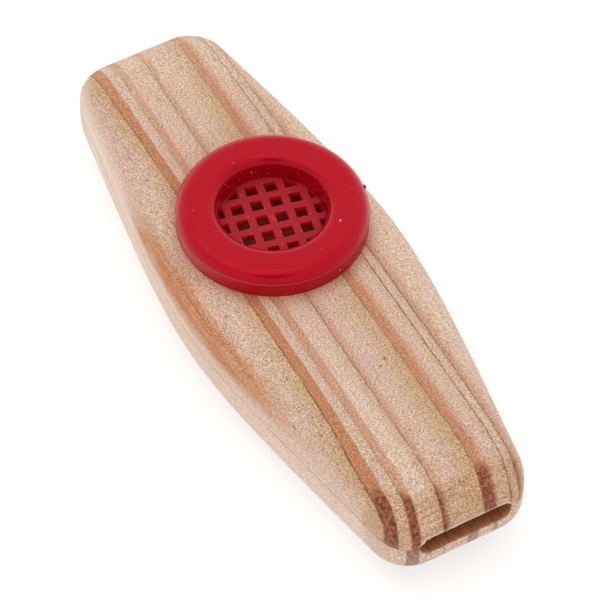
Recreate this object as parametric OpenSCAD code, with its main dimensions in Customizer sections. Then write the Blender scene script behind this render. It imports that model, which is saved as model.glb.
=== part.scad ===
// Flat wooden kazoo with a push-in plastic cap.
// Two pine halves are glued flat on flat. A straight air channel runs from end to end between them,
// and a round socket in the upper half holds the membrane under the cap.
// +X runs along the body towards the mouth end, +Y across it, +Z up through the cap.
// The origin lies on the underside, in the middle of the body.

/* [Body] */
// Length of the wooden body
body_l = 123.5; // [110:0.5:150]
// Width of the body across its belly
body_w = 44.3; // [42:0.1:56]
// Width of the body at each end, before its corners are rounded
end_w = 27.1; // [26:0.1:36]
// Length over which the sides curve at the belly before they run straight
belly_l = 38; // [20:1:60]
// Thickness of the upper half
upper_t = 10.6; // [10.6:0.1:14]
// Thickness of the lower half
lower_t = 11.9; // [10:0.1:14]
// Radius of the four corners, seen from above
corner_r = 5.6; // [3:0.1:6]
// How far the rounded edge reaches in over the top and the underside from each side
side_run = 7.2; // [5:0.1:9.5]
// How far it reaches in from each end
end_run = 15.3; // [6:0.1:18]
// How far the rounded edge drops down the sides and the ends
edge_drop = 9; // [5:0.1:9.8]

/* [Air channel] */
// Width of the air channel and of its mouth at each end
channel_w = 18.5; // [12:0.5:20]
// Height of the air channel, half of it cut into each wooden half
channel_h = 4.2; // [3:0.1:5]

/* [Cap] */
// How far the cap sits from the middle of the body, towards the end away from the mouth
cap_shift = 8.2; // [0:0.1:16]
// Diameter of the cap's flange
flange_d = 35.3; // [33:0.1:38]
// Height of the flange above the wood
flange_h = 5.1; // [4.6:0.1:8]
// Thickness of the flange's skin
flange_wall = 1.8; // [1.2:0.1:2.2]
// Radius of the rounding at the flange's outer top edge
flange_r = 2.6; // [0.6:0.1:3]
// Radius of the lip that rounds from the flange's top into the well
lip_r = 2.2; // [0.4:0.1:2.6]
// Diameter of the round well in the cap, just below its lip
well_d = 19.9; // [18:0.1:21]
// How far the well's wall draws in all round on its way down to the grille
well_draft = 0.35; // [0:0.05:0.6]
// Depth of the well, from the top of the flange to the grille
well_depth = 4.4; // [3:0.1:4.6]
// Length of the barrel below the flange
barrel_l = 5.4; // [4:0.1:5.6]
// Wall thickness of the barrel
barrel_wall = 2.2; // [1.4:0.1:2.6]
// Chamfer at the foot of the barrel, which leads it into the socket
barrel_lead = 0.5; // [0.2:0.1:0.8]

/* [Grille] */
// Thickness of the grille
grille_t = 1.5; // [0.8:0.1:1.6]
// Distance from one grille hole to the next
grille_pitch = 3.7; // [3:0.05:5]
// Width of a square grille hole
grille_hole = 2.2; // [1:0.1:2.6]
// Direction of the grille's rows, in degrees from +X
grille_turn = 77.6; // [0:0.1:90]
// Diameter of the moulding mark at the middle of the grille
gate_d = 0.9; // [0.5:0.1:1.4]
// Height of the moulding mark
gate_h = 0.3; // [0.1:0.1:0.6]

/* [Membrane] */
// Thickness of the membrane
membrane_t = 0.1; // [0.06:0.01:0.2]
// Thickness of the card ring that carries the membrane
card_t = 1; // [0.6:0.1:1.4]
// Width of the card ring, from its inner to its outer edge
card_w = 2.6; // [2.2:0.1:3.4]
// Width of the ledge in the socket that the card ring lies on
ledge_w = 3; // [2:0.1:4]

/* [Fits] */
// Gap all round the barrel in its socket
barrel_clearance = 0.05; // [0.02:0.01:0.1]
// Gap all round the membrane and its card ring in the socket
membrane_clearance = 0.3; // [0.2:0.05:0.5]

/* [Hidden] */

// Every cut runs past the faces that it opens by this much
overrun = 1;

// Number of steps round one corner, along one side and over the rounded edge
corner_steps = 7;
side_steps = 26;
edge_steps = 12;
rounding_steps = 9;
round_fn = 96;

body_t = upper_t + lower_t;
cap_x = -cap_shift;

// The bore through the grille and the barrel, and the socket in the upper half
bore_d = well_d - 2 * well_draft;
barrel_d = bore_d + 2 * barrel_wall;
socket_d = barrel_d + 2 * barrel_clearance;
socket_depth = barrel_l + membrane_t + card_t;
ledge_z = body_t - socket_depth;
throat_d = socket_d - 2 * ledge_w;
membrane_d = socket_d - 2 * membrane_clearance;

// Heights of the cap's faces
flange_top = body_t + flange_h;
grille_top = flange_top - well_depth;
grille_base = grille_top - grille_t;
barrel_foot = body_t - barrel_l;

// Half width of the body, x away from its middle: a hyperbola, round at the belly and straight past it
belly_half = belly_l / 2;
function reach(x) = norm([x, belly_half]) - belly_half;
function half_w(x) = body_w / 2 - (body_w - end_w) / 2 * reach(x) / reach(body_l / 2);

// Outline of the body seen from above, drawn in by inset = [from the ends, from the sides]. It runs
// anticlockwise from the mouth end: a rounded corner, the +Y side, the far corner, and then the same
// again turned by half a turn
function end_x(inset) = body_l / 2 - inset[0];
function corner(inset) = min(corner_r, (half_w(end_x(inset)) - inset[1]) / 2);
function corner_point(inset, a) =
    let (r = corner(inset), x = end_x(inset) - r * (1 - sin(a)))
    [x, half_w(x) - inset[1] - r * (1 - cos(a))];
function side_point(inset, share) =
    let (x = share * (end_x(inset) - corner(inset)))
    [x, half_w(x) - inset[1]];
function quarter_side(inset) = concat(
    [for (i = [0 : corner_steps]) corner_point(inset, 90 * (1 - i / corner_steps))],
    [for (i = [1 : side_steps / 2]) side_point(inset, 1 - 2 * i / side_steps)]
);
function mirrored_back(points) =
    [for (i = [len(points) - 2 : -1 : 0]) [-points[i][0], points[i][1]]];
function half_outline(inset) =
    let (quarter = quarter_side(inset))
    concat(quarter, mirrored_back(quarter));
function outline(inset) =
    let (half = half_outline(inset))
    concat(half, [for (p = half) [-p[0], -p[1]]]);

// Levels of one half, from its glued face out to its flat face, as [height, inset]
function edge_levels(t) = concat(
    [[0, [0, 0]]],
    [for (i = [0 : edge_steps])
        let (a = 90 * i / edge_steps)
        [t - edge_drop * (1 - sin(a)), [end_run, side_run] * (1 - cos(a))]]
);

// One wooden half as a solid block with rounded edges, glued face down on z = 0
module half_block(t) {
    levels = edge_levels(t);
    rings = [for (level = levels) [for (p = outline(level[1])) [p[0], p[1], level[0]]]];
    n = len(rings[0]);
    top = len(rings) - 1;
    polyhedron(
        points = [for (ring = rings) each ring],
        faces = concat(
            [[for (i = [0 : n - 1]) i]],
            [[for (i = [n - 1 : -1 : 0]) top * n + i]],
            [for (k = [0 : top - 1], i = [0 : n - 1])
                let (j = (i + 1) % n)
                each [
                    [k * n + i, (k + 1) * n + i, (k + 1) * n + j],
                    [k * n + i, (k + 1) * n + j, k * n + j]
                ]]
        ),
        convexity = 4
    );
}

// Cutter for the whole air channel: flat above and below, with round sides
module air_channel() {
    translate([0, 0, lower_t])
        rotate([90, 0, 90])
            linear_extrude(body_l + 2 * overrun, center = true)
                union() {
                    square([channel_w - channel_h, channel_h], center = true);
                    for (side = [-1, 1])
                        translate([side * (channel_w - channel_h) / 2, 0])
                            circle(d = channel_h, $fn = round_fn / 2);
                }
}

// Upper wooden half, with the socket for the cap and the throat down to the channel
module upper_body() {
    color("#d9b48f")
        difference() {
            translate([0, 0, lower_t])
                half_block(upper_t);
            air_channel();
            translate([cap_x, 0, ledge_z])
                cylinder(d = socket_d, h = socket_depth + overrun, $fn = round_fn);
            translate([cap_x, 0, lower_t - overrun])
                cylinder(d = throat_d, h = upper_t + overrun, $fn = round_fn);
        }
}

// Lower wooden half, with its share of the channel
module lower_body() {
    color("#cfa57e")
        difference() {
            translate([0, 0, lower_t])
                mirror([0, 0, 1])
                    half_block(lower_t);
            air_channel();
        }
}

// Section of the flange, barrel and well wall, turned round the cap's axis
module cap_section() {
    outer = flange_d / 2;
    well = well_d / 2;
    bore = bore_d / 2;
    barrel = barrel_d / 2;
    skin_z = flange_top - flange_wall;
    outer_arc = [for (i = [0 : rounding_steps])
        let (a = 90 * i / rounding_steps)
        [outer - flange_r * (1 - cos(a)), flange_top - flange_r * (1 - sin(a))]];
    lip_arc = [for (i = [0 : rounding_steps])
        let (a = 90 * i / rounding_steps)
        [well + lip_r * (1 - sin(a)), flange_top - lip_r * (1 - cos(a))]];
    polygon(concat(
        [[outer, body_t]],
        outer_arc,
        lip_arc,
        [
            [bore, grille_top],
            [bore, barrel_foot],
            [barrel - barrel_lead, barrel_foot],
            [barrel, barrel_foot + barrel_lead],
            [barrel, skin_z],
            [outer - flange_wall, skin_z],
            [outer - flange_wall, body_t]
        ]
    ));
}

// Square grille across the well. Its middle is a bar, with a hole on either side along the row
module grille() {
    count = ceil(bore_d / grille_pitch);
    difference() {
        circle(d = bore_d + barrel_wall, $fn = round_fn);
        intersection() {
            circle(d = bore_d, $fn = round_fn);
            rotate(grille_turn)
                for (i = [-count : count], j = [-count : count])
                    translate([(i + 1 / 2) * grille_pitch, j * grille_pitch])
                        square(grille_hole, center = true);
        }
    }
}

// Red cap: flange, barrel and grille moulded in one
module cap() {
    color("#b8222f")
        translate([cap_x, 0, 0])
            union() {
                rotate_extrude($fn = round_fn)
                    cap_section();
                translate([0, 0, grille_base])
                    linear_extrude(grille_t)
                        grille();
                translate([0, 0, grille_top])
                    cylinder(d = gate_d, h = gate_h, $fn = round_fn / 4);
            }
}

// Thin membrane, clamped between the barrel's foot and its card ring
module membrane() {
    color("#e9e4d6")
        translate([cap_x, 0, ledge_z + card_t])
            cylinder(d = membrane_d, h = membrane_t, $fn = round_fn);
}

// Card ring on the socket's ledge, with the membrane stuck on top of it
module card_ring() {
    color("#c8b48c")
        translate([cap_x, 0, ledge_z])
            difference() {
                cylinder(d = membrane_d, h = card_t, $fn = round_fn);
                translate([0, 0, -overrun])
                    cylinder(d = membrane_d - 2 * card_w, h = card_t + 2 * overrun, $fn = round_fn);
            }
}

upper_body();
lower_body();
cap();
membrane();
card_ring();
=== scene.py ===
"""Looks of a flat pine kazoo: two glued halves of sanded pine, a glossy red cap pushed into the upper
one, and a membrane on its card ring below the cap. Lengths are in millimetres until they go to Blender."""

import math

import bmesh
import bpy
from mathutils import Matrix, Vector


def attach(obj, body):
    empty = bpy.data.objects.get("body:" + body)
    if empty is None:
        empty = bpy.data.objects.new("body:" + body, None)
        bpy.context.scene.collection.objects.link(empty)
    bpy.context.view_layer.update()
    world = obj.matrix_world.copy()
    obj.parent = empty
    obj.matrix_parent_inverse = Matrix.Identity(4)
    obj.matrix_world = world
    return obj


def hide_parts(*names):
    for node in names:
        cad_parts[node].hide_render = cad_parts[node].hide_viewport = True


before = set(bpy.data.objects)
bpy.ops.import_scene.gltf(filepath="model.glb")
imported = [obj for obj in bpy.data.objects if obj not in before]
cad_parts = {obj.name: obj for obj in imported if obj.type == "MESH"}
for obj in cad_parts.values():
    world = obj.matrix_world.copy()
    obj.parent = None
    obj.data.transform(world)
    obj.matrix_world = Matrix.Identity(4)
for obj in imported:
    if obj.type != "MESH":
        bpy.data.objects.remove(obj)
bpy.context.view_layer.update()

MM = 0.001

# Wooden body
TOP_Z = 22.5
GLUE_Z = 11.9
CHANNEL_W = 18.5
CHANNEL_H = 4.2
END_X = 61.75
VOXEL = 0.4
SMOOTHING = 6
ARRIS_REACH = 0.35
ARRIS_DEPTH = 0.85
ARRIS_JITTER = 0.12
SPARE = 2.0

# Points closer than this are merged, in metres
TOUCHING = 1e-6

# Cap, measured from its own axis and from the top of the wood
CAP_X = -8.2
FLANGE_R = 17.65
FLANGE_H = 5.1
SKIN = 1.8
EDGE_R = 2.6
LIP_R = 2.2
WELL_R = 9.95
BORE_R = 9.6
FLOOR_H = 0.7
GRILLE_T = 1.5
PITCH = 3.7
HOLE = 2.2
GRILLE_TURN = 77.6
GRILLE_ROOT = 0.8
BARREL_L = 5.4
BARREL_R = 11.8
BARREL_LEAD = 0.5
GATE_R = 0.45
GATE_H = 0.3
NUB_TURN = 78.9
NUB_H = 3.1
NUB_SIZE = 0.7
NUB_ROUND = 0.22
NUB_SUNK = 0.05
GATE_SEAM = (1.56, 0.26, 0.3)
GATE_SEAM_OFF = 0.3
GATE_SEAM_ROUND = 0.08
BAR_ROUND = 0.1
TURN_STEPS = 144

# Membrane and card ring
RING_R = 11.55
RING_HOLE_R = 8.95
RING_T = 1.0
RING_ROUND = 0.12
FILM_T = 0.1
FILM_RIM = 0.6
DISC_STEPS = 96
LEDGE_Z = TOP_Z - BARREL_L - FILM_T - RING_T

# Photograph's camera: the cap's axis at the top of the wood lies at this pixel of a 600 pixel frame
FRAME_PX = 600
AXIS_PX = (272.37, 220.68)
PX_PER_MM = 5.4902
AZIMUTH = 59.78
ELEVATION = 51.71
ROLL = 0.91
DISTANCE = 746.2
SENSOR = 36.0


def linear(code):
    """Linear RGBA of an sRGB colour written as a hex code."""
    parts = [int(code[i : i + 2], 16) / 255 for i in (1, 3, 5)]
    return [c / 12.92 if c <= 0.04045 else ((c + 0.055) / 1.055) ** 2.4 for c in parts] + [1.0]


def add(tree, kind, sockets=None, stops=None, **settings):
    """Adds a shader node. An input takes a value, another node or its output. A ramp has two stops."""
    made = tree.nodes.new("ShaderNode" + kind)
    for key, value in settings.items():
        setattr(made, key, value)
    for key, value in (sockets or {}).items():
        if isinstance(value, bpy.types.Node):
            value = value.outputs[0]
        if isinstance(value, bpy.types.NodeSocket):
            tree.links.new(value, made.inputs[key])
        else:
            made.inputs[key].default_value = value
    if stops:
        for element, (position, colour) in zip(made.color_ramp.elements, stops):
            element.position = position
            element.color = linear(colour)
    return made


def material(name):
    """A new material, its node tree and its Principled shader."""
    made = bpy.data.materials.new(name)
    made.use_nodes = True
    tree = made.node_tree
    return made, tree, tree.nodes["Principled BSDF"]


# Pine, planed and sanded, with no varnish. Pale pinkish earlywood starts golden and full of short dark
# pores behind each dark growth line, and the latewood on the line's other side is orange. Where the grain
# runs out on the mouth end, the latewood drinks more light and is a deep reddish brown. The saw has left
# the air channel darker, and painted shade darkens it more deep in. Painted light makes the side walls, the
# far end, the +Y edge and beneath paler, and painted shade darkens a ring round the cap
PALE = "#DDBA9F"
PINK = "#DDB8A5"
PALE_STRIPE_AND_PAINTED_LIGHT = "#F6DDCB"
CREAM = "#F4D8BA"
GOLD = "#CDA272"
BLUSH = "#CA824C"
ORANGE = "#C6855C"
LINE = "#6C3C22"
PORE = "#80582F"
MARK = "#8A5A3A"
END_PALE = "#D2A680"
END_LATE = "#B06A46"
END_DEEP = "#743420"
LIP = "#F0DCCE"
SHADED = "#DCB09A"
SAWN_AND_SHADE = "#D08A5A"
SAWN_RIDGE_AND_SHADE = "#78341E"

# The growth lines fan out a little along the body and wander, and at some places along it they all bend,
# from one place to another by a shift across the body
FAN = 0.0138
FAN_SPREAD = -0.0006
BENDS = [(-47.0, -58.0, -0.9), (24.0, 46.0, 0.2), (46.0, 56.0, -0.3), (56.0, 61.7, 0.8)]
SLOW_WANDER = 0.5
QUICK_WANDER = 0.4
LINE_HALF = 0.13

# Growth of each half in millimetres across the body, at the middle of its length. Latewood rises from
# one place to a second and fades from a third to a fourth, up to a depth. A dark line has a place and a
# darkness, and golden wood grows stronger from one place to another
UPPER_LATE = [
    (-12.85, -12.7, -11.1, -10.95, 1.0),
    (-9.05, -8.85, -7.7, -7.15, 0.62),
    (-3.15, -3.0, -2.75, -1.4, 0.6),
    (4.95, 5.1, 6.25, 7.85, 0.88),
    (12.0, 12.15, 12.55, 14.2, 0.6),
]
UPPER_LINES = [
    (-12.8, 0.8),
    (-10.95, 0.35),
    (-9.0, 0.3),
    (-3.1, 0.6),
    (5.0, 0.65),
    (10.3, 0.8),
    (12.05, 0.7),
]
UPPER_GOLD = [
    (-16.0, -12.85, 0.85),
    (-10.4, -9.05, 0.3),
    (-4.6, -3.15, 0.45),
    (0.6, 4.9, 0.85),
    (9.3, 10.2, 0.4),
    (11.0, 12.0, 0.4),
]
LOWER_LATE = [
    (-17.0, -16.6, -15.6, -15.0, 0.3),
    (-9.9, -9.6, -8.0, -7.4, 0.9),
    (-3.2, -3.0, -2.6, -2.2, 0.2),
    (1.9, 2.1, 3.6, 4.2, 0.8),
    (7.0, 7.2, 7.7, 8.0, 0.5),
    (14.0, 14.3, 15.0, 15.8, 0.4),
]
LOWER_LINES = [(-16.8, 0.2), (-9.8, 0.5), (-3.1, 0.2), (2.0, 0.5), (7.1, 0.4), (14.1, 0.3)]
LOWER_GOLD = [(-18.5, -17.0, 0.2), (-12.0, -9.95, 0.3), (-0.5, 1.75, 0.3), (12.5, 14.0, 0.3)]

# Noise in the wood: how many lumps it has in a millimetre along, across and up the body, how many finer
# layers lie on them, and how strong these are. So fibres are a fifth of a millimetre wide, the speckle
# is as fine, uneven patches are two or three millimetres long, and streaks run along the walls
NOISE = {
    "slow wander": ((0.03, 0.06, 0.06), 1.0, 0.5),
    "quick wander": ((0.25, 1.6, 1.6), 3.0, 0.5),
    "end edge": ((0.5, 1.2, 0.5), 3.0, 0.5),
    "blush": ((0.07, 0.9, 0.9), 4.0, 0.5),
    "pink": ((0.05, 0.25, 0.25), 2.0, 0.5),
    "end mottle": ((1.3, 1.3, 1.3), 3.0, 0.6),
    "fibre": ((0.12, 4.5, 4.5), 4.0, 0.6),
    "speckle": ((5.0, 6.5, 6.5), 2.0, 0.6),
    "end scratch": ((3.5, 0.2, 3.5), 3.0, 0.6),
    "uneven": ((0.4, 1.6, 1.6), 2.0, 0.5),
    "wall streak": ((0.1, 0.3, 3.5), 3.0, 0.6),
    "broken line": ((0.35, 2.0, 2.0), 3.0, 0.7),
    "saw ridge": ((0.25, 3.5, 1.0), 4.0, 0.7),
}

# Tones that the noise gives: from one level of it to another, from one tone to another
TONES = {
    "blush": ((0.35, 0.6), (0.6, 1.0)),
    "pink": ((0.35, 0.65), (0.0, 1.0)),
    "end mottle": ((0.38, 0.62), (0.0, 1.0)),
    "fibre": ((0.3, 0.7), (0.9, 1.1)),
    "speckle": ((0.3, 0.7), (0.7, 1.25)),
    "end scratch": ((0.3, 0.7), (-0.36, 0.22)),
    "uneven": ((0.3, 0.7), (0.92, 1.08)),
    "wall streak": ((0.3, 0.7), (0.8, 1.14)),
    "broken line": ((0.36, 0.56), (0.45, 1.0)),
    "saw ridge": ((0.35, 0.65), (0.0, 0.6)),
}

# Sanding marks: short, slanting, and a third by a fifth of a millimetre
SANDING_SLANT = 48
SANDING_SIZE = (0.36, 0.18, 0.3)

# What grows or fades by place, from one place to another in millimetres and from one share to another.
# far is the distance from the middle either way, drop goes down from the top, up from the glue plane.
# End grain sooner and blush further out are shifts, so theirs are millimetres too
FADES = {
    "golden": ("far", (10.0, 36.0), (0.65, 1.0)),
    "line": ("x", (-10.0, -28.0), (1.0, 0.75)),
    "end grain sooner": ("y", (-8.0, -13.0), (0.0, 4.5)),
    "mouth grain": ("y", (11.0, 13.0), (1.0, 0.4)),
    "far grain": ("x", (-58.0, -61.5), (0.0, 0.8)),
    "wall": ("drop", (3.5, 8.0), (0.0, 1.0)),
    "blush further out": ("x", (6.0, 32.0), (0.0, -3.0)),
    "pale stripe": ("x", (10.0, 35.0), (0.0, 0.3)),
    "painted wall light": ("x", (-35.0, 10.0), (1.0, 0.45)),
    "painted light far end": ("y", (-12.0, -8.0), (0.0, 0.3)),
    "painted light +Y edge": ("y", (12.5, 16.0), (0.0, 0.4)),
    "painted light far +Y edge": ("x", (-25.0, -42.0), (0.0, 0.45)),
    "painted light beneath": ("z", (13.5, 9.5), (0.0, 0.6)),
    "cream": ("x", (30.0, 10.0), (0.0, 1.0)),
    "over slot": ("up", (0.9, 1.8), (0.0, 1.0)),
    "outside": ("far", (60.6, 61.3), (0.0, 1.0)),
    "painted shade deep in": ("far", (61.6, 57.0), (0.0, 0.7)),
}
SOFT_FADES = {
    "blush low": ("drop", (6.2, 9.2), (1.0, 0.0)),
    "blush far": ("x", (-36.0, -20.0), (0.0, 1.0)),
    "blush mouth": ("x", (14.0, 40.0), (1.0, 0.0)),
}

# Brown marks on the upper half, each with its place and its radius in millimetres
MARKS = [
    ((29.1, 1.9, 22.5), 0.5),
    ((30.2, 0.5, 22.5), 0.4),
    ((24.3, -15.2, 21.9), 0.4),
    ((11.0, -19.5, 19.9), 0.35),
    ((6.5, -17.7, 21.7), 0.35),
    ((-24.5, -14.0, 22.4), 0.3),
    ((-28.5, -15.2, 21.6), 0.35),
    ((-40.6, -8.1, 22.5), 0.3),
    ((-44.0, -4.2, 22.5), 0.35),
]

# End grain begins and is full at these places along the body, and its edge is ragged by so much
END_BEGINS = 56.5
END_FULL = 59.0
END_RAG = 3.0

# The side walls begin and are full at these distances from the middle of the body's width, less by a
# share of the distance along it, as the body narrows
WALL_BEGINS = 19.5
WALL_FULL = 21.0
WALL_TAPER = 0.16

# Places across the growth lines: the blush's inner edge, and the middle and the half widths of the pale
# stripe, where it is full and where it ends
BLUSH_BEGINS = -18.6
BLUSH_FULL = -20.6
STRIPE_AT = -6.4
STRIPE_FULL = 1.2
STRIPE_ENDS = 2.4

# Painted light comes on between these places: along the body towards the far end, and across it on the +Y
# edge near that end
PAINTED_LIGHT_FAR_END = (-30.0, -56.0)
PAINTED_LIGHT_FAR_EDGE = (10.8, 12.8)

# Cells in a millimetre along, across and up the body, each with room for one pore or one brown mark, and
# the shares of cells with a pore in plain wood and, on top of that, in golden wood
PORE_CELLS = (1.9, 2.9, 2.9)
MARK_CELLS = (0.09, 0.16, 0.16)
PORES_PLAIN = 0.03
PORES_GOLDEN = 0.8

# The painted shade, a darker ring round the flange, reaches so far past it, and grows in one direction by
# so much a millimetre
SHADE_NARROW = 1.2
SHADE_WIDE = 3.2
SHADE_LEAN = (0.035, -0.045, 0.0)

# Pale lip over the slot: how far from the channel's wall it is palest, and where it ends
LIP_PALEST = 0.2
LIP_ENDS = 0.8


def places(tree, seed):
    """Where a point lies, in millimetres, and its own place in the noise, which the seed moves."""
    at = add(tree, "TexCoord").outputs["Object"]
    spot = add(tree, "VectorMath", {0: at, 3: 1 / MM}, operation="SCALE")
    x, y, z = add(tree, "SeparateXYZ", {0: spot}).outputs
    return {
        "spot": spot,
        "own": add(tree, "VectorMath", {0: spot, 1: (seed, seed, seed)}, operation="ADD"),
        "x": x,
        "y": y,
        "z": z,
        "far": add(tree, "Math", {0: x}, operation="ABSOLUTE"),
        "aside": add(tree, "Math", {0: y}, operation="ABSOLUTE"),
        "drop": add(tree, "Math", {0: TOP_Z, 1: z}, operation="SUBTRACT"),
        "up": add(tree, "Math", {0: z, 1: GLUE_Z}, operation="SUBTRACT"),
    }


def noises(tree, own):
    """The wood's noise and the tones that it gives, both by name."""
    noise = {}
    for title, (per_mm, layers, strength) in NOISE.items():
        stretched = add(tree, "VectorMath", {0: own, 1: per_mm}, operation="MULTIPLY")
        settings = {"Vector": stretched, "Scale": 1.0, "Detail": layers, "Roughness": strength}
        noise[title] = add(tree, "TexNoise", settings)
    tone = {}
    for title, ((low, high), (dark, light)) in TONES.items():
        tone[title] = add(tree, "MapRange", {0: noise[title], 1: low, 2: high, 3: dark, 4: light})
    return noise, tone


def fades(tree, place):
    """How strong things are by place, by name."""
    share = {}
    for table, course in ((FADES, "LINEAR"), (SOFT_FADES, "SMOOTHSTEP")):
        for title, (source, (first, last), (start, end)) in table.items():
            sockets = {0: place[source], 1: first, 2: last, 3: start, 4: end}
            share[title] = add(tree, "MapRange", sockets, interpolation_type=course)
    return share


def among_growth(tree, place, noise):
    """Where a point lies among the growth lines, in millimetres across the body."""
    fan = add(tree, "Math", {0: place["y"], 1: FAN_SPREAD, 2: FAN}, operation="MULTIPLY_ADD")
    course = add(tree, "Math", {0: place["x"], 1: fan, 2: place["y"]}, operation="MULTIPLY_ADD")
    for begins, ends, shift in BENDS:
        bend = add(tree, "MapRange", {0: place["x"], 1: begins, 2: ends, 4: shift})
        course = add(tree, "Math", {0: course, 1: bend}, operation="ADD")
    for title, reach in (("slow wander", SLOW_WANDER), ("quick wander", QUICK_WANDER)):
        course = add(tree, "Math", {0: noise[title], 1: reach, 2: course}, operation="MULTIPLY_ADD")
    centred = (SLOW_WANDER + QUICK_WANDER) / 2
    return add(tree, "Math", {0: course, 1: centred}, operation="SUBTRACT")


def growth(tree, across, late_bands, dark_lines, golden):
    """Shares of latewood, dark line and golden wood."""
    late = 0.0
    for rise, full, fade, gone, depth in late_bands:
        up = add(tree, "MapRange", {0: across, 1: rise, 2: full, 4: depth})
        down = add(tree, "MapRange", {0: across, 1: fade, 2: gone, 3: depth, 4: 0.0})
        band = add(tree, "Math", {0: up, 1: down}, operation="MINIMUM")
        late = add(tree, "Math", {0: late, 1: band}, operation="MAXIMUM")
    line = 0.0
    for mm, darkness in dark_lines:
        on_line = add(tree, "Math", {0: across, 1: mm, 2: LINE_HALF}, operation="COMPARE")
        line = add(tree, "Math", {0: on_line, 1: darkness, 2: line}, operation="MULTIPLY_ADD")
    gold = 0.0
    for begins, ends, strength in golden:
        glow = add(tree, "MapRange", {0: across, 1: begins, 2: ends, 4: strength})
        before = add(tree, "Math", {0: across, 1: ends}, operation="LESS_THAN")
        gold = add(tree, "Math", {0: glow, 1: before, 2: gold}, operation="MULTIPLY_ADD")
    return late, line, gold


def end_grain(tree, place, noise, share):
    """Shares of end grain on the mouth end and on either end. It begins sooner near the -Y side."""
    moved = add(tree, "Math", {0: place["x"], 1: share["end grain sooner"]}, operation="ADD")
    moved = add(tree, "Math", {0: noise["end edge"], 1: END_RAG, 2: moved}, operation="MULTIPLY_ADD")
    reach = {0: moved, 1: END_BEGINS, 2: END_FULL, 4: share["mouth grain"]}
    mouth = add(tree, "MapRange", reach, interpolation_type="SMOOTHSTEP")
    return mouth, add(tree, "Math", {0: mouth, 1: share["far grain"]}, operation="MAXIMUM")


def side_wall(tree, place, share):
    """Share of side wall."""
    tapered = {0: place["far"], 1: WALL_TAPER, 2: place["aside"]}
    outward = add(tree, "Math", tapered, operation="MULTIPLY_ADD")
    sideways = add(tree, "MapRange", {0: outward, 1: WALL_BEGINS, 2: WALL_FULL})
    return add(tree, "Math", {0: share["wall"], 1: sideways}, operation="MULTIPLY")


def orange_blush(tree, across, tone, share):
    """Share of the blush on the -Y side's rounded edge, where the saw met a growth ring nearly flat on."""
    moved = add(tree, "Math", {0: across, 1: share["blush further out"]}, operation="ADD")
    reach = {0: moved, 1: BLUSH_BEGINS, 2: BLUSH_FULL}
    near = add(tree, "MapRange", reach, interpolation_type="SMOOTHSTEP")
    blush = tone["blush"]
    for part in (near, share["blush low"], share["blush far"], share["blush mouth"]):
        blush = add(tree, "Math", {0: blush, 1: part}, operation="MULTIPLY")
    return blush


def pale_stripe(tree, across, share):
    """Share of the pale stripe, which shows towards the mouth."""
    off = add(tree, "Math", {0: across, 1: STRIPE_AT}, operation="SUBTRACT")
    off = add(tree, "Math", {0: off}, operation="ABSOLUTE")
    faded = {0: off, 1: STRIPE_FULL, 2: STRIPE_ENDS, 3: share["pale stripe"], 4: 0.0}
    return add(tree, "MapRange", faded)


def painted_light_share(tree, place, share, late):
    """Share of painted light, which makes the wood paler: towards the far end, along the +Y edge and
    beneath, and less on the latewood."""
    begins, ends = PAINTED_LIGHT_FAR_END
    painted_light = add(tree, "MapRange", {0: place["x"], 1: begins, 2: ends, 4: share["painted light far end"]})
    begins, ends = PAINTED_LIGHT_FAR_EDGE
    far_edge = add(tree, "MapRange", {0: place["y"], 1: begins, 2: ends, 4: share["painted light far +Y edge"]})
    for other in (share["painted light +Y edge"], far_edge, share["painted light beneath"]):
        painted_light = add(tree, "Math", {0: painted_light, 1: other}, operation="MAXIMUM")
    softer = add(tree, "MapRange", {0: late, 3: 1.0, 4: 0.5})
    return add(tree, "Math", {0: painted_light, 1: softer}, operation="MULTIPLY")


def sanded(tree, place, tone, end, painted_wall_light):
    """Tone of the sanded surface: speckle, sanding marks and uneven patches, or streaks on the walls, with
    fibres over it all and scratches across the ends."""
    slant = (0.0, 0.0, math.radians(SANDING_SLANT))
    marks_at = add(tree, "Mapping", {0: place["own"], 2: slant, 3: SANDING_SIZE}, vector_type="TEXTURE")
    marks = add(tree, "TexNoise", {"Vector": marks_at, "Scale": 1.0, "Detail": 0.0})
    marks_tone = add(tree, "MapRange", {0: marks, 1: 0.25, 2: 0.7, 3: 0.54, 4: 1.31})
    fuzz = add(tree, "Math", {0: tone["speckle"], 1: marks_tone}, operation="MULTIPLY")
    fuzz = add(tree, "Math", {0: fuzz, 1: tone["uneven"]}, operation="MULTIPLY")
    fuzz = add(tree, "MapRange", {0: painted_wall_light, 3: fuzz, 4: tone["wall streak"]})
    scratches = {0: tone["end scratch"], 1: end, 2: tone["fibre"]}
    scratched = add(tree, "Math", scratches, operation="MULTIPLY_ADD")
    return add(tree, "Math", {0: fuzz, 1: scratched}, operation="MULTIPLY")


def drawn_lines(tree, place, line, tone):
    """Share of dark growth line or glued joint, broken up by the fibre."""
    at_joint = add(tree, "Math", {0: place["z"], 1: GLUE_Z, 2: LINE_HALF}, operation="COMPARE")
    joint = add(tree, "Math", {0: at_joint, 1: 0.5}, operation="MULTIPLY")
    drawn = add(tree, "Math", {0: line, 1: joint}, operation="MAXIMUM")
    return add(tree, "Math", {0: drawn, 1: tone["broken line"]}, operation="MULTIPLY")


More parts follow.
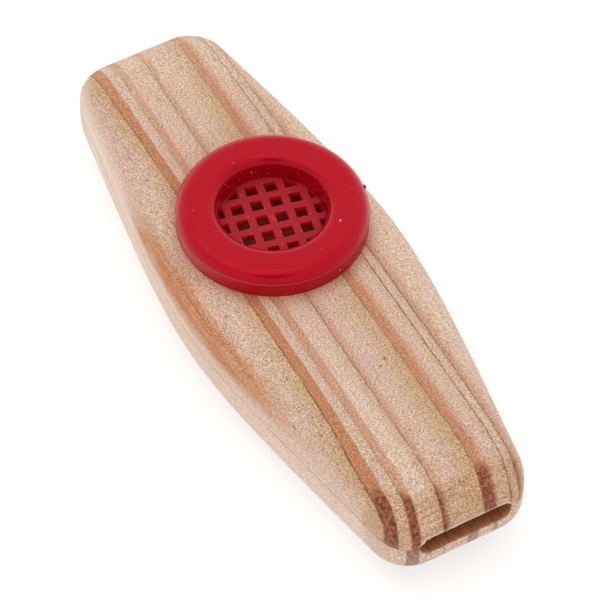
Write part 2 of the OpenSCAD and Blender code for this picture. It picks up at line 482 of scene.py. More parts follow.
def pores(tree, place, gold):
    """Share of pore: dark dots about a third of a millimetre long, crowded in the golden wood."""
    cells_at = add(tree, "VectorMath", {0: place["own"], 1: PORE_CELLS}, operation="MULTIPLY")
    cells = add(tree, "TexVoronoi", {"Vector": cells_at, "Scale": 1.0})
    lot = add(tree, "SeparateColor", {0: cells.outputs["Color"]})
    crowd = add(tree, "Math", {0: gold, 1: PORES_GOLDEN, 2: PORES_PLAIN}, operation="MULTIPLY_ADD")
    kept = add(tree, "Math", {0: lot, 1: crowd}, operation="LESS_THAN")
    fall = {0: cells, 1: 0.15, 2: 0.5, 3: 0.6, 4: 0.0}
    dot = add(tree, "MapRange", fall, interpolation_type="SMOOTHSTEP")
    return add(tree, "Math", {0: dot, 1: kept}, operation="MULTIPLY")


def brown_marks(tree, place):
    """Share of brown mark. Some have a place of their own and some are strewn."""
    cells_at = add(tree, "VectorMath", {0: place["own"], 1: MARK_CELLS}, operation="MULTIPLY")
    cells = add(tree, "TexVoronoi", {"Vector": cells_at, "Scale": 1.0})
    fall = {0: cells, 1: 0.02, 2: 0.06, 3: 0.6, 4: 0.0}
    mark = add(tree, "MapRange", fall, interpolation_type="SMOOTHSTEP")
    for spot, radius in MARKS:
        off = add(tree, "VectorMath", {0: place["spot"], 1: spot}, operation="DISTANCE").outputs["Value"]
        placed = add(tree, "MapRange", {0: off, 1: radius * 0.3, 2: radius, 3: 0.75, 4: 0.0})
        mark = add(tree, "Math", {0: mark, 1: placed}, operation="MAXIMUM")
    return mark


def painted_shade_round_cap(tree, place):
    """Share of painted shade, a darker, redder ring round the flange. It is widest towards the mouth end
    and the -Y side."""
    from_cap = add(tree, "VectorMath", {0: place["spot"], 1: (CAP_X, 0.0, TOP_Z)}, operation="SUBTRACT")
    off = add(tree, "VectorMath", {0: from_cap}, operation="LENGTH").outputs["Value"]
    leaning = add(tree, "VectorMath", {0: from_cap, 1: SHADE_LEAN}, operation="DOT_PRODUCT")
    lean = leaning.outputs["Value"]
    ends = {0: lean, 1: -0.4, 2: 0.8, 3: FLANGE_R + SHADE_NARROW, 4: FLANGE_R + SHADE_WIDE}
    edge = add(tree, "MapRange", ends)
    depth = add(tree, "MapRange", {0: lean, 1: -0.6, 2: 0.6, 3: 0.25, 4: 0.6})
    return add(tree, "MapRange", {0: off, 1: FLANGE_R - 0.2, 2: edge, 3: depth, 4: 0.0})


def slot(tree, place, tone, share, late):
    """Shares of the pale lip over the slot, palest at its torn edge, and of the air channel, and the
    channel's colour. It is rough and darker from the saw, with ridges along it, and painted shade darkens
    it more deep in."""
    past_flat = add(tree, "Math", {0: place["aside"], 1: (CHANNEL_W - CHANNEL_H) / 2}, operation="SUBTRACT")
    past_flat = add(tree, "Math", {0: past_flat, 1: 0.0}, operation="MAXIMUM")
    section = add(tree, "CombineXYZ", {0: past_flat, 1: place["up"]})
    off = add(tree, "VectorMath", {0: section}, operation="LENGTH").outputs["Value"]
    wall_r = CHANNEL_H / 2
    edge = {0: off, 1: wall_r + LIP_PALEST, 2: wall_r + LIP_ENDS, 3: 0.85, 4: 0.0}
    lip = add(tree, "MapRange", edge)
    fainter_on_latewood = add(tree, "MapRange", {0: late, 3: 1.0, 4: 0.4})
    for part in (share["over slot"], share["outside"], fainter_on_latewood):
        lip = add(tree, "Math", {0: lip, 1: part}, operation="MULTIPLY")
    inside = add(tree, "MapRange", {0: off, 1: wall_r + 0.05, 2: wall_r + 0.2, 3: 1.0, 4: 0.0})
    depth = add(tree, "Math", {0: tone["saw ridge"], 1: share["painted shade deep in"]}, operation="ADD", use_clamp=True)
    sawn_and_shaded = add(tree, "MixRGB", {0: depth, 1: linear(SAWN_AND_SHADE), 2: linear(SAWN_RIDGE_AND_SHADE)})
    return lip, inside, sawn_and_shaded


def pine(name, late_bands, dark_lines, golden, seed):
    """Pine of one half, with its growth and its own seed."""
    made, tree, shader = material(name)
    place = places(tree, seed)
    noise, tone = noises(tree, place["own"])
    share = fades(tree, place)
    across = among_growth(tree, place, noise)
    late, line, gold = growth(tree, across, late_bands, dark_lines, golden)
    gold = add(tree, "Math", {0: gold, 1: share["golden"]}, operation="MULTIPLY")
    mouth, end = end_grain(tree, place, noise, share)

    # The saw cut the side walls along the growth lines, so that they carry hardly any
    wall = side_wall(tree, place, share)
    shown = add(tree, "MapRange", {0: mouth, 3: 0.12, 4: 0.75})
    plain = add(tree, "MapRange", {0: wall, 3: 1.0, 4: shown})
    late = add(tree, "Math", {0: late, 1: plain}, operation="MULTIPLY")
    line = add(tree, "Math", {0: line, 1: plain}, operation="MULTIPLY")
    line = add(tree, "Math", {0: line, 1: share["line"]}, operation="MULTIPLY")
    # Painted light: the side walls are paler
    painted_wall_light = add(tree, "Math", {0: wall, 1: share["painted wall light"]}, operation="MULTIPLY")

    # Earlywood in broad pink and golden patches, a pale stripe, latewood and end grain. Painted light makes
    # the side walls, the far end, the +Y edge and beneath paler
    paler_end = add(tree, "Math", {0: end, 1: 0.7}, operation="MULTIPLY")
    wood = linear(PALE)
    layers = [
        (tone["pink"], PINK),
        (gold, GOLD),
        (pale_stripe(tree, across, share), PALE_STRIPE_AND_PAINTED_LIGHT),
        (painted_wall_light, PALE_STRIPE_AND_PAINTED_LIGHT),
        (orange_blush(tree, across, tone, share), BLUSH),
        (paler_end, END_PALE),
    ]
    for level, colour in layers:
        wood = add(tree, "MixRGB", {0: level, 1: wood, 2: linear(colour)})
    late_end = add(tree, "MixRGB", {0: tone["end mottle"], 1: linear(END_LATE), 2: linear(END_DEEP)})
    late_colour = add(tree, "MixRGB", {0: end, 1: linear(ORANGE), 2: late_end})
    gain = add(tree, "Math", {0: end, 1: 0.8, 2: 1.0}, operation="MULTIPLY_ADD")
    late = add(tree, "Math", {0: late, 1: gain}, operation="MULTIPLY", use_clamp=True)
    wood = add(tree, "MixRGB", {0: late, 1: wood, 2: late_colour})
    painted_light_colour = add(tree, "MixRGB", {0: share["cream"], 1: linear(PALE_STRIPE_AND_PAINTED_LIGHT), 2: linear(CREAM)})
    wood = add(tree, "MixRGB", {0: painted_light_share(tree, place, share, late), 1: wood, 2: painted_light_colour})

    # Where the sanded surface darkens the wood it also browns it
    texture = sanded(tree, place, tone, end, painted_wall_light)
    red = add(tree, "Math", {0: texture, 1: 0.75}, operation="POWER")
    blue = add(tree, "Math", {0: texture, 1: 1.25}, operation="POWER")
    brown = add(tree, "CombineColor", {0: red, 1: texture, 2: blue})
    wood = add(tree, "MixRGB", {0: 1.0, 1: wood, 2: brown}, blend_type="MULTIPLY")

    pore = pores(tree, place, gold)
    layers = [
        (drawn_lines(tree, place, line, tone), LINE),
        (pore, PORE),
        (brown_marks(tree, place), MARK),
    ]
    for level, colour in layers:
        wood = add(tree, "MixRGB", {0: level, 1: wood, 2: linear(colour)})
    # Painted shade in a ring round the flange
    ring = painted_shade_round_cap(tree, place)
    wood = add(tree, "MixRGB", {0: ring, 1: wood, 2: linear(SHADED)}, blend_type="MULTIPLY")
    lip, inside, sawn_and_shaded = slot(tree, place, tone, share, late)
    wood = add(tree, "MixRGB", {0: lip, 1: wood, 2: linear(LIP)})
    # The channel: sawn wood, with painted shade deep in
    wood = add(tree, "MixRGB", {0: inside, 1: wood, 2: sawn_and_shaded})

    lumps = add(tree, "Math", {0: pore, 1: -0.5, 2: texture}, operation="MULTIPLY_ADD")
    bump = add(tree, "Bump", {"Strength": 0.4, "Distance": 0.0001, "Height": lumps})
    tree.links.new(wood.outputs[0], shader.inputs["Base Color"])
    tree.links.new(bump.outputs[0], shader.inputs["Normal"])
    shader.inputs["Roughness"].default_value = 0.65
    shader.inputs["IOR"].default_value = 1.45
    shader.inputs["Specular IOR Level"].default_value = 0.4
    shader.inputs["Sheen Weight"].default_value = 0.1
    shader.inputs["Sheen Roughness"].default_value = 0.5
    return made


pine_upper = pine("sanded pine, upper half", UPPER_LATE, UPPER_LINES, UPPER_GOLD, 0.0)
pine_lower = pine("sanded pine, lower half", LOWER_LATE, LOWER_LINES, LOWER_GOLD, 40.0)


# Polystyrene in cherry red, injection moulded: deep and glossy where the mould was polished, with a red
# glint of its own, duller on the grille, with a faint grain on the flange's side and specks of dust
DEEP_RED = "#B30418"
WELL_SHADE_RED = "#9E0414"
SIDE_SHADE_RED = "#A80414"
GRILLE_RED = "#A8222C"
BAR_SIDE_PAINTED_LIGHT = "#D0182A"
GATE_HIGHLIGHT_RED = "#EC2C44"
GLINT = "#FF5969"
SEAM_HIGHLIGHT_PINK = "#E0707C"
STUB = "#5A1420"
DUST = "#E8A8AC"

# Thin seam round the flange where the two halves of the mould met, with a painted highlight along it
SEAM_H = 3.1
SEAM_R = 0.07

# Dust: cells in a millimetre, each with room for one speck, and the speck's radius as a share of a cell,
# where it is full and where it ends
DUST_CELLS = 1.1
DUST_FULL = 0.07
DUST_ENDS = 0.15

# Three larger specks, in millimetres from the cap's axis and from the top of the wood, and the distances
# from their middle where they are full and where they end
SPECKS = [(5.56, -9.33, 4.5), (9.52, 8.69, 5.1), (17.13, 4.37, 1.6)]
SPECK_FULL = 0.12
SPECK_ENDS = 0.28

# The painted highlight on the moulding mark is full up to the first of these distances, and less and less
# up to the second
HIGHLIGHT_FULL = 0.35
HIGHLIGHT_ENDS = 0.85


def grille_bars(tree, height, radius):
    """Shares of the grille's top and of the sides of its bars."""
    in_bore = add(tree, "Math", {0: radius, 1: BORE_R + 0.02}, operation="LESS_THAN")
    above = add(tree, "MapRange", {0: height, 1: FLOOR_H - 0.1, 2: FLOOR_H - 0.02})
    below = add(tree, "MapRange", {0: height, 1: FLOOR_H - 0.1, 2: FLOOR_H - 0.02, 3: 1.0, 4: 0.0})
    under_wall = add(tree, "MapRange", {0: height, 1: FLOOR_H + 0.04, 2: FLOOR_H + 0.4, 3: 1.0, 4: 0.0})
    bars = add(tree, "Math", {0: above, 1: under_wall}, operation="MULTIPLY")
    bars = add(tree, "Math", {0: bars, 1: in_bore}, operation="MULTIPLY")
    return bars, add(tree, "Math", {0: below, 1: in_bore}, operation="MULTIPLY")


def gate_painted_highlight(tree, own):
    """Share of the painted highlight on the moulding mark in the middle of the grille."""
    gate_spot = (0.0, 0.0, FLOOR_H + GATE_H / 2)
    off = add(tree, "VectorMath", {0: own, 1: gate_spot}, operation="DISTANCE").outputs["Value"]
    return add(tree, "MapRange", {0: off, 1: HIGHLIGHT_FULL, 2: HIGHLIGHT_ENDS, 3: 0.8, 4: 0.0})


def dust(tree, own, radius):
    """Share of dust: light specks about a fifth of a millimetre across, most of them in the well."""
    cells = add(tree, "TexVoronoi", {"Vector": own, "Scale": DUST_CELLS})
    lot = add(tree, "SeparateColor", {0: cells.outputs["Color"]})
    share = add(tree, "MapRange", {0: radius, 1: WELL_R - 1.5, 2: WELL_R + 1.0, 3: 0.7, 4: 0.07})
    kept = add(tree, "Math", {0: lot, 1: share}, operation="LESS_THAN")
    speck = add(tree, "MapRange", {0: cells, 1: DUST_FULL, 2: DUST_ENDS, 3: 0.6, 4: 0.0})
    speck = add(tree, "Math", {0: speck, 1: kept}, operation="MULTIPLY")
    for spot in SPECKS:
        off = add(tree, "VectorMath", {0: own, 1: spot}, operation="DISTANCE").outputs["Value"]
        large = add(tree, "MapRange", {0: off, 1: SPECK_FULL, 2: SPECK_ENDS, 3: 0.9, 4: 0.0})
        speck = add(tree, "Math", {0: speck, 1: large}, operation="MAXIMUM")
    return speck


def seam_painted_highlight(tree, height, radius):
    """Share of the painted highlight along the seam round the flange."""
    on_seam = add(tree, "Math", {0: height, 1: SEAM_H, 2: SEAM_R + 0.02}, operation="COMPARE")
    at_rim = add(tree, "Math", {0: radius, 1: FLANGE_R - 0.12}, operation="GREATER_THAN")
    seam = add(tree, "Math", {0: on_seam, 1: at_rim}, operation="MULTIPLY")
    return add(tree, "Math", {0: seam, 1: 0.32}, operation="MULTIPLY")


def plastic(name):
    made, tree, shader = material(name)
    at = add(tree, "TexCoord").outputs["Object"]
    spot = add(tree, "VectorMath", {0: at, 3: 1 / MM}, operation="SCALE")
    own = add(tree, "VectorMath", {0: spot, 1: (CAP_X, 0.0, TOP_Z)}, operation="SUBTRACT")
    x, y, height = add(tree, "SeparateXYZ", {0: own}).outputs
    flat = add(tree, "CombineXYZ", {0: x, 1: y})
    radius = add(tree, "VectorMath", {0: flat}, operation="LENGTH").outputs["Value"]

    in_well = add(tree, "MapRange", {0: radius, 1: WELL_R + 0.2, 2: WELL_R + 1.4, 3: 1.0, 4: 0.0})
    side = add(tree, "MapRange", {0: radius, 1: FLANGE_R - 0.5, 2: FLANGE_R - 0.05})
    bars, bar_sides_painted_light = grille_bars(tree, height, radius)
    layers = [
        # Painted shade: the well is darker than the flange
        (in_well, WELL_SHADE_RED),
        # Painted shade: the flange's side is darker than its top
        (side, SIDE_SHADE_RED),
        (bars, GRILLE_RED),
        # Painted light: the sides of the bars and the bore below the grille are lighter
        (bar_sides_painted_light, BAR_SIDE_PAINTED_LIGHT),
        # Painted highlight on the moulding mark
        (gate_painted_highlight(tree, own), GATE_HIGHLIGHT_RED),
        (dust(tree, own, radius), DUST),
        # Painted highlight along the seam
        (seam_painted_highlight(tree, height, radius), SEAM_HIGHLIGHT_PINK),
        (add(tree, "MapRange", {0: radius, 1: FLANGE_R + 0.04, 2: FLANGE_R + 0.12}), STUB),
    ]
    red = linear(DEEP_RED)
    for level, colour in layers:
        red = add(tree, "MixRGB", {0: level, 1: red, 2: linear(colour)})

    # Broad ripples all over, and grit on the flange's side, which is duller, as the grille is
    ripple = add(tree, "TexNoise", {"Vector": own, "Scale": 0.26})
    grit = add(tree, "TexNoise", {"Vector": own, "Scale": 5.0, "Detail": 3.0, "Roughness": 0.7})
    side_grit = add(tree, "Math", {0: side, 1: grit}, operation="MULTIPLY")
    lumps = add(tree, "Math", {0: side_grit, 1: 0.5, 2: ripple}, operation="MULTIPLY_ADD")
    bump = add(tree, "Bump", {"Strength": 0.2, "Distance": 0.0002, "Height": lumps})
    dull_bars = add(tree, "Math", {0: bars, 1: 0.5}, operation="MULTIPLY")
    dull_side = add(tree, "Math", {0: side, 1: 0.38}, operation="MULTIPLY")
    dull = add(tree, "Math", {0: dull_bars, 1: dull_side}, operation="MAXIMUM")
    rough = add(tree, "Math", {0: dull, 1: 0.17}, operation="MAXIMUM")
    tree.links.new(red.outputs[0], shader.inputs["Base Color"])
    tree.links.new(bump.outputs[0], shader.inputs["Normal"])
    tree.links.new(rough.outputs[0], shader.inputs["Roughness"])
    shader.inputs["IOR"].default_value = 1.5
    shader.inputs["Specular IOR Level"].default_value = 1.0
    shader.inputs["Specular Tint"].default_value = linear(GLINT)
    return made


red_plastic = plastic("moulded red polystyrene")


# Waxed tissue in a dark red, with faint wrinkles
def tissue(name):
    made, tree, shader = material(name)
    at = add(tree, "TexCoord").outputs["Object"]
    wrinkle = add(tree, "TexNoise", {"Vector": at, "Scale": 420.0, "Detail": 3.0})
    tint = add(tree, "ValToRGB", {0: wrinkle}, stops=[(0.3, "#96302A"), (0.7, "#AA4038")])
    bump = add(tree, "Bump", {"Strength": 0.4, "Distance": 0.0003, "Height": wrinkle})
    tree.links.new(tint.outputs[0], shader.inputs["Base Color"])
    tree.links.new(bump.outputs[0], shader.inputs["Normal"])
    shader.inputs["Roughness"].default_value = 0.45
    return made


waxed_tissue = tissue("waxed tissue")


# Grey board: pressed paper pulp with short fibres in it
def board(name):
    made, tree, shader = material(name)
    at = add(tree, "TexCoord").outputs["Object"]
    pulp = add(tree, "TexNoise", {"Vector": at, "Scale": 1500.0, "Detail": 4.0})
    tint = add(tree, "ValToRGB", {0: pulp}, stops=[(0.3, "#A8926B"), (0.7, "#C7B48F")])
    bump = add(tree, "Bump", {"Strength": 0.5, "Distance": 0.0001, "Height": pulp})
    tree.links.new(tint.outputs[0], shader.inputs["Base Color"])
    tree.links.new(bump.outputs[0], shader.inputs["Normal"])
    shader.inputs["Roughness"].default_value = 0.85
    return made


grey_board = board("pressed card")


# Modelling helpers
def choose(part, kind, test):
    """In edit mode, selects only those vertices, edges or faces of the part that pass the test."""
    bpy.ops.mesh.select_mode(type=kind)
    bpy.ops.mesh.select_all(action="DESELECT")
    shape = bmesh.from_edit_mesh(part.data)
    for item in {"VERT": shape.verts, "EDGE": shape.edges, "FACE": shape.faces}[kind]:
        if test(item):
            item.select_set(True)
    bmesh.update_edit_mesh(part.data)


def only(part):
    """Makes the part the one selected and active object."""
    bpy.ops.object.select_all(action="DESELECT")
    part.select_set(True)
    bpy.context.view_layer.objects.active = part


def edit(part):
    only(part)
    bpy.ops.object.mode_set(mode="EDIT")
    bpy.ops.mesh.select_mode(type="VERT")


def done():
    bpy.ops.object.mode_set(mode="OBJECT")


def modify(part, kind, **settings):
    """Adds a modifier with its settings and applies it."""
    only(part)
    added = part.modifiers.new(kind.lower(), kind)
    for key, value in settings.items():
        setattr(added, key, value)
    bpy.ops.object.modifier_apply(modifier=added.name)


def soften(part, width):
    """Rounds the part's sharp edges by a width in millimetres."""
    sharp = math.radians(40)
    modify(part, "BEVEL", width=width * MM, segments=2, limit_method="ANGLE", angle_limit=sharp)


def dress(part, name, finish, slot, body, *nodes, angle=30):
    """Names a finished piece, shades it, gives it its finish and sets it in place of its CAD nodes."""
    part.name = name
    part.data.name = name
    only(part)
    bpy.ops.object.transform_apply(location=True, rotation=True, scale=True)
    bpy.ops.object.shade_smooth_by_angle(angle=math.radians(angle))
    part.data.materials.clear()
    part.data.materials.append(finish)
    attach(part, body)
    if nodes:
        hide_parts(*nodes)


def middle(item):
    """Middle of a face or an edge, in millimetres."""
    if isinstance(item, bmesh.types.BMFace):
        return item.calc_center_median() / MM
    return (item.verts[0].co + item.verts[1].co) / 2 / MM


def at_arris(vertex):
    """Whether a vertex lies on the edge of the slot at either end, where the saw tore the wood."""
    x, y, z = vertex.co / MM
    past_flat = max(abs(y) - (CHANNEL_W - CHANNEL_H) / 2, 0.0)
    off_wall = abs(math.hypot(past_flat, z - GLUE_Z) - CHANNEL_H / 2)
    return abs(x) > END_X - ARRIS_DEPTH and off_wall < ARRIS_REACH


# Wooden halves: the glued face is carried past the glue plane, the block is sanded smooth all over, and
# then it is cut off at that plane, so that both halves meet in one flush, sharp line
def wooden_half(node, name, finish, slot, outward):
    only(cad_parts[node])
    bpy.ops.object.duplicate()
    half = bpy.context.object
    half.data = half.data.copy()
    half.parent = None
    edit(half)
    bpy.ops.mesh.select_all(action="SELECT")
    bpy.ops.mesh.remove_doubles(threshold=TOUCHING)
    choose(half, "FACE", lambda f: abs(middle(f).z - GLUE_Z) < 0.01 and f.normal.z * outward < -0.9)
    bpy.ops.mesh.extrude_region_move(TRANSFORM_OT_translate={"value": (0, 0, -outward * SPARE * MM)})
    done()
    modify(half, "REMESH", mode="VOXEL", voxel_size=VOXEL * MM)
    modify(half, "SMOOTH", factor=0.5, iterations=SMOOTHING)
    edit(half)
    choose(half, "VERT", at_arris)
    bpy.ops.transform.vertex_random(offset=ARRIS_JITTER * MM, seed=3)
    bpy.ops.mesh.select_all(action="SELECT")
    bpy.ops.mesh.bisect(
        plane_co=(0, 0, GLUE_Z * MM), plane_no=(0, 0, outward), use_fill=True, clear_inner=True
    )
    done()
    dress(half, name, finish, slot, "body", node, angle=40)


wooden_half("upper_body", "pine_top", pine_upper, "pine_upper", 1)
wooden_half("lower_body", "pine_base", pine_lower, "pine_lower", -1)


# Cap: its section is drawn point by point and spun round the cap's axis
def arc(cx, cz, r, start, end, steps):
    turns = [math.radians(start + (end - start) * i / steps) for i in range(steps + 1)]
    return [(cx + r * math.cos(turn), cz + r * math.sin(turn)) for turn in turns]


def cap_section():
    """Section of flange, well and barrel as (radius, height above the wood)."""
    inner_r = FLANGE_R - SKIN
    edge = arc(FLANGE_R - EDGE_R, FLANGE_H - EDGE_R, EDGE_R, 0, 90, 14)
    seam_r = FLANGE_R - EDGE_R + math.sqrt(EDGE_R**2 - (SEAM_H - FLANGE_H + EDGE_R) ** 2)
    return (
        [(FLANGE_R, 0.0)]
        + [point for point in edge if point[1] < SEAM_H - SEAM_R]
        + arc(seam_r, SEAM_H, SEAM_R, -80, 80, 4)
        + [point for point in edge if point[1] > SEAM_H + SEAM_R]
        + arc(WELL_R + LIP_R, FLANGE_H - LIP_R, LIP_R, 90, 180, 12)
        + [
            (BORE_R, FLOOR_H),
            (BORE_R, -BARREL_L),
            (BARREL_R - BARREL_LEAD, -BARREL_L),
            (BARREL_R, -BARREL_L + BARREL_LEAD),
            (BARREL_R, FLANGE_H - SKIN),
            (inner_r, FLANGE_H - SKIN),
            (inner_r, 0.0),
        ]
    )


def spun(section, steps):
    """A closed section spun round the cap's axis."""
    first = Vector((CAP_X + section[0][0], 0, TOP_Z + section[0][1])) * MM
    bpy.ops.mesh.primitive_plane_add(size=MM, location=first)
    part = bpy.context.object
    bpy.ops.object.transform_apply(location=True, rotation=True, scale=True)
    edit(part)
    bpy.ops.mesh.select_all(action="SELECT")
    bpy.ops.mesh.merge(type="CENTER")
    bpy.ops.mesh.select_all(action="SELECT")
    for (r0, z0), (r1, z1) in zip(section, section[1:]):
        step = ((r1 - r0) * MM, 0, (z1 - z0) * MM)
        bpy.ops.mesh.extrude_region_move(TRANSFORM_OT_translate={"value": step})
    bpy.ops.mesh.select_all(action="SELECT")
    bpy.ops.mesh.edge_face_add()
    bpy.ops.mesh.delete(type="ONLY_FACE")
    bpy.ops.mesh.select_all(action="SELECT")
    bpy.ops.mesh.spin(
        steps=steps, angle=2 * math.pi, center=(CAP_X * MM, 0, 0), axis=(0, 0, 1), use_auto_merge=True
    )
    bpy.ops.mesh.select_all(action="SELECT")
    bpy.ops.mesh.remove_doubles(threshold=TOUCHING)
    bpy.ops.mesh.normals_make_consistent(inside=False)
    done()
    return part


cap = spun(cap_section(), TURN_STEPS)


# Grille: a sheet of square cells is added, each cell is inset to its hole, the holes are taken out, the
# bars get their thickness, and the sheet is trimmed round, so that it ends inside the well's wall. An even
# number of cells along and an odd number across put a bar in the middle, with a hole on either side
def grille_sheet():
    along = 8
    over = along - 1
    bpy.ops.mesh.primitive_grid_add(x_subdivisions=along, y_subdivisions=over, size=1, location=(0, 0, 0))
    sheet = bpy.context.object
    edit(sheet)
    bpy.ops.mesh.select_all(action="SELECT")
    bpy.ops.transform.resize(value=(along * PITCH * MM, over * PITCH * MM, 1))
    bpy.ops.mesh.inset(thickness=(PITCH - HOLE) / 2 * MM, use_individual=True, use_boundary=True)
    bpy.ops.mesh.delete(type="FACE")
    done()
    modify(sheet, "SOLIDIFY", thickness=GRILLE_T * MM, offset=-1)
    soften(sheet, BAR_ROUND)
    middle_top = Vector((CAP_X, 0, TOP_Z + FLOOR_H)) * MM
    turn = Matrix.Rotation(math.radians(GRILLE_TURN), 4, "Z")
    sheet.matrix_world = Matrix.Translation(middle_top) @ turn
    only(sheet)
    bpy.ops.object.transform_apply(location=True, rotation=True, scale=True)
    bpy.ops.mesh.primitive_cylinder_add(
        vertices=TURN_STEPS, radius=(BORE_R + GRILLE_ROOT) * MM, depth=8 * MM, location=middle_top
    )
    trim = bpy.context.object
    modify(sheet, "BOOLEAN", operation="INTERSECT", object=trim, solver="EXACT")
    bpy.data.objects.remove(trim)
    return sheet


def join_to_cap(part):
    modify(cap, "BOOLEAN", operation="UNION", object=part, solver="EXACT")
    bpy.data.objects.remove(part)


join_to_cap(grille_sheet())


# Moulding mark in the middle of the grille: a low dome, and the thin seam that runs through it
def gate_mark():
    foot = Vector((CAP_X, 0, TOP_Z + FLOOR_H)) * MM
    bpy.ops.mesh.primitive_uv_sphere_add(segments=24, ring_count=12, radius=1, location=foot)
    dome = bpy.context.object
    edit(dome)
    bpy.ops.mesh.select_all(action="SELECT")
    bpy.ops.transform.resize(value=(GATE_R * MM, GATE_R * MM, GATE_H * MM))
    done()
    return dome


def gate_seam():
    turn = math.radians(GRILLE_TURN)
    off = Vector((-math.sin(turn), math.cos(turn), 0)) * GATE_SEAM_OFF
    spot = Vector((CAP_X, 0, TOP_Z + FLOOR_H)) + off
    bpy.ops.mesh.primitive_cube_add(size=1, location=spot * MM, rotation=(0, 0, turn))
    seam = bpy.context.object
    edit(seam)
    bpy.ops.mesh.select_all(action="SELECT")
    bpy.ops.transform.resize(value=Vector(GATE_SEAM) * MM, orient_type="LOCAL")
    done()
    bpy.ops.object.transform_apply(location=True, rotation=True, scale=True)
    modify(seam, "BEVEL", width=GATE_SEAM_ROUND * MM, segments=2, limit_method="NONE")
    return seam


join_to_cap(gate_mark())
join_to_cap(gate_seam())


# Nub left on the flange's rim where it broke off its runner
def runner_nub():
    turn = math.radians(NUB_TURN)
    rim = Vector((math.cos(turn), math.sin(turn), 0)) * (FLANGE_R - NUB_SUNK)
    spot = Vector((CAP_X, 0, TOP_Z + NUB_H)) + rim
    bpy.ops.mesh.primitive_cube_add(size=NUB_SIZE * MM, location=spot * MM, rotation=(0, 0, turn))
    nub = bpy.context.object
    bpy.ops.object.transform_apply(location=True, rotation=True, scale=True)
    modify(nub, "BEVEL", width=NUB_ROUND * MM, segments=3, limit_method="NONE")
    return nub


join_to_cap(runner_nub())
dress(cap, "red_cap", red_plastic, "red_cap", "cap", "cap", angle=35)


# Card ring on the socket's ledge and membrane on top of it. The membrane is stuck down along its rim
def disc(radius, base, height, hole=0.0):
    centre = Vector((CAP_X, 0, base + height / 2)) * MM
    bpy.ops.mesh.primitive_cylinder_add(
        vertices=DISC_STEPS, radius=radius * MM, depth=height * MM, location=centre
    )
    part = bpy.context.object
    bpy.ops.object.transform_apply(location=True, rotation=True, scale=True)
    edit(part)
    if hole:
        choose(part, "FACE", lambda f: abs(f.normal.z) > 0.9)
        bpy.ops.mesh.inset(thickness=(radius - hole) * MM, use_individual=True)
        bpy.ops.mesh.bridge_edge_loops()
    done()
    return part


card_ring = disc(RING_R, LEDGE_Z, RING_T, RING_HOLE_R)
soften(card_ring, RING_ROUND)
dress(card_ring, "card_band", grey_board, "card", "membrane", "card_ring")

film = disc(RING_R, LEDGE_Z + RING_T, FILM_T)
edit(film)
choose(film, "FACE", lambda f: abs(f.normal.z) > 0.9)
bpy.ops.mesh.inset(thickness=FILM_RIM * MM, use_individual=True)
done()
dress(film, "tissue_film", waxed_tissue, "film", "membrane", "membrane")


def outwards(azimuth, elevation):
    """Direction from the object. Azimuth 0 is the -Y side, and it grows towards +X."""
    turn = math.radians(azimuth)
    rise = math.radians(elevation)
    return Vector((math.sin(turn) * math.cos(rise), -math.cos(turn) * math.cos(rise), math.sin(rise)))


# Camera at the photograph's place
def camera():
    turn = math.radians(AZIMUTH)
    back = outwards(AZIMUTH, ELEVATION)
    level = Vector((math.cos(turn), math.sin(turn), 0))
    upright = back.cross(level)
    roll = math.radians(ROLL)
    right = level * math.cos(roll) + upright * math.sin(roll)
    up = upright * math.cos(roll) - level * math.sin(roll)
    focal_px = PX_PER_MM * DISTANCE
    left = (AXIS_PX[0] - FRAME_PX / 2) / PX_PER_MM
    low = (FRAME_PX / 2 - AXIS_PX[1]) / PX_PER_MM
    spot = Vector((CAP_X, 0, TOP_Z)) + back * DISTANCE - right * left - up * low
    lens = bpy.data.cameras.new("camera")
    lens.sensor_width = SENSOR
    lens.lens = focal_px / FRAME_PX * SENSOR
    lens.clip_start = 0.01
    made = bpy.data.objects.new("camera", lens)
    bpy.context.scene.collection.objects.link(made)
    turned = Matrix((right, up, back)).transposed().to_4x4()
    made.matrix_world = Matrix.Translation(spot * MM) @ turned
    bpy.context.scene.camera = made
    return made


viewpoint = camera()


# Dark cloth round the camera, which only the cap's gloss shows, as two short dark arcs. Its radius is
# in metres
CLOTH_R = 0.2


def dark_cloth():
    made, tree, shader = material("black studio cloth")
    weave = add(tree, "TexNoise", {"Vector": add(tree, "TexCoord").outputs["Object"], "Scale": 600.0})
    tint = add(tree, "ValToRGB", {0: weave}, stops=[(0.0, "#0A0A0A"), (1.0, "#161616")])
    tree.links.new(tint.outputs[0], shader.inputs["Base Color"])
    shader.inputs["Roughness"].default_value = 0.9
    bpy.ops.object.select_all(action="DESELECT")
    bpy.ops.mesh.primitive_circle_add(vertices=48, radius=CLOTH_R, fill_type="NGON")
    cloth = bpy.context.object
    cloth.name = "dark_cloth"
    cloth.matrix_world = viewpoint.matrix_world
    cloth.visible_camera = False
    cloth.visible_diffuse = False
    cloth.visible_shadow = False
    cloth.data.materials.append(made)


dark_cloth()


# Studio, in metres: white paper under a white tent, with one soft lamp high over it. Paper and tent are
# plain white to the eye, to gloss and through glass
FLOOR_SIZE = 6.0
TENT_LIGHT = 0.86
LAMP_SIZE = 1.6
LAMP_POWER = 4
LAMP_DISTANCE = 1.6
LAMP_AZIMUTH = 330
LAMP_ELEVATION = 78


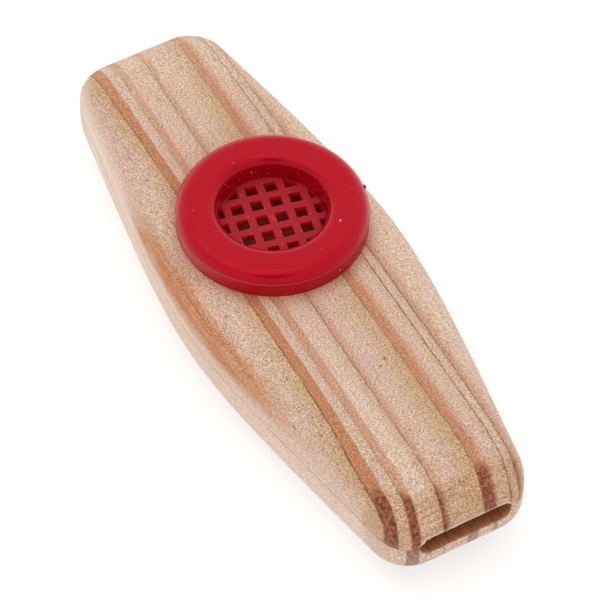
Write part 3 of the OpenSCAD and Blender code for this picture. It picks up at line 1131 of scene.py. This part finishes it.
def white_rays(tree):
    """1 for a ray that should find plain white, 0 for one that carries light to the object."""
    ray = add(tree, "LightPath").outputs
    seen = add(tree, "Math", {0: ray["Is Camera Ray"], 1: ray["Is Glossy Ray"]}, operation="MAXIMUM")
    return add(tree, "Math", {0: seen, 1: ray["Is Transmission Ray"]}, operation="MAXIMUM")


def floor_material():
    made, tree, shader = material("white studio paper")
    fleck = add(tree, "TexNoise", {"Vector": add(tree, "TexCoord").outputs["Object"], "Scale": 900.0})
    tint = add(tree, "ValToRGB", {0: fleck}, stops=[(0.0, "#F0F0F0"), (1.0, "#F4F4F4")])
    tree.links.new(tint.outputs[0], shader.inputs["Base Color"])
    shader.inputs["Roughness"].default_value = 0.9
    seen = add(tree, "BsdfDiffuse", {"Color": (0.5, 0.5, 0.5, 1.0)})
    glow = add(tree, "Emission", {"Color": (1.0, 1.0, 1.0, 1.0), "Strength": 0.6})
    lit = add(tree, "AddShader", {0: seen, 1: glow})
    mix = add(tree, "MixShader", {0: white_rays(tree), 1: shader, 2: lit})
    tree.links.new(mix.outputs[0], tree.nodes["Material Output"].inputs["Surface"])
    return made


bpy.ops.object.select_all(action="DESELECT")
bpy.ops.mesh.primitive_plane_add(size=FLOOR_SIZE, location=(0, 0, 0))
floor = bpy.context.object
floor.name = "floor"
floor.data.materials.append(floor_material())


def overhead_lamp():
    lamp = bpy.data.lights.new("overhead", "AREA")
    lamp.shape = "DISK"
    lamp.size = LAMP_SIZE
    lamp.energy = LAMP_POWER
    made = bpy.data.objects.new("overhead", lamp)
    bpy.context.scene.collection.objects.link(made)
    toward = outwards(LAMP_AZIMUTH, LAMP_ELEVATION)
    made.location = toward * LAMP_DISTANCE
    made.rotation_euler = toward.to_track_quat("Z", "Y").to_euler()


overhead_lamp()

world = bpy.data.worlds.new("studio")
bpy.context.scene.world = world
world.use_nodes = True
sky = world.node_tree
level = add(sky, "MapRange", {0: white_rays(sky), 3: TENT_LIGHT, 4: 1.0})
backdrop = sky.nodes["Background"]
backdrop.inputs["Color"].default_value = (1.0, 1.0, 1.0, 1.0)
sky.links.new(level.outputs[0], backdrop.inputs["Strength"])

bpy.context.scene.view_settings.view_transform = "Standard"
